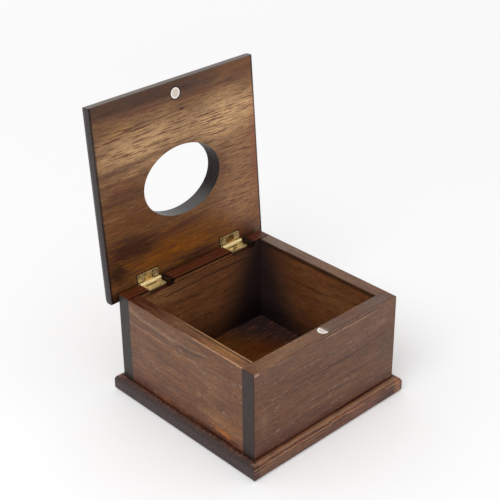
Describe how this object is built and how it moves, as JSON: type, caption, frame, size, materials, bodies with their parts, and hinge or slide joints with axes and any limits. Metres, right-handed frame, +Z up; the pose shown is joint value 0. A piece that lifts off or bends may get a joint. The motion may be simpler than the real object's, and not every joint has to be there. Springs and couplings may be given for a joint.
{
  "type": "hinged lid wooden box",
  "caption": "Square dark wooden box on a moulded base plate, with a hinged lid that has an oval opening, shown open, small brass hinges and a magnet catch.",
  "frame": {"origin": "middle of the base plate's underside, on the surface that the box stands on", "axes": "+Z up, -Y towards the front wall with the magnet, +X to the right seen from the front; the lid is hinged along the back (+Y) and stored open"},
  "size_m": [0.1396, 0.1579, 0.2055],
  "materials": {
    "base_wood": "dark walnut stain under semi-gloss lacquer",
    "wall_wood": "dark walnut stain under semi-gloss lacquer",
    "lid_wood": "dark walnut stain under semi-gloss lacquer",
    "nickel": "bright nickel plate",
    "dowel_wood": "plain beech, unfinished",
    "screw_steel": "zinc plate",
    "brass": "aged satin brass",
    "pin_brass": "satin brass",
    "screw_brass": "satin brass"
  },
  "bodies": {
    "box": {"base_plate": "base_wood", "front_wall": "wall_wood", "back_wall": "wall_wood", "left_wall": "wall_wood", "right_wall": "wall_wood", "wall_magnet": "nickel", "corner_dowels": "dowel_wood", "base_screws": "screw_steel", "left_hinge_wall_leaf": "brass", "left_hinge_pin": "pin_brass", "left_hinge_wall_screws": "screw_brass", "right_hinge_wall_leaf": "brass", "right_hinge_pin": "pin_brass", "right_hinge_wall_screws": "screw_brass"},
    "lid": {"lid_panel": "lid_wood", "lid_magnet": "nickel", "left_hinge_lid_leaf": "brass", "left_hinge_lid_screws": "screw_brass", "right_hinge_lid_leaf": "brass", "right_hinge_lid_screws": "screw_brass"}
  },
  "joints": [
    {"name": "lid_hinge", "type": "hinge", "parent": "box", "child": "lid", "pos_m": [0, 0.0655, 0.0743], "axis": [1, 0, 0], "range_deg": [0, 94]}
  ]
}
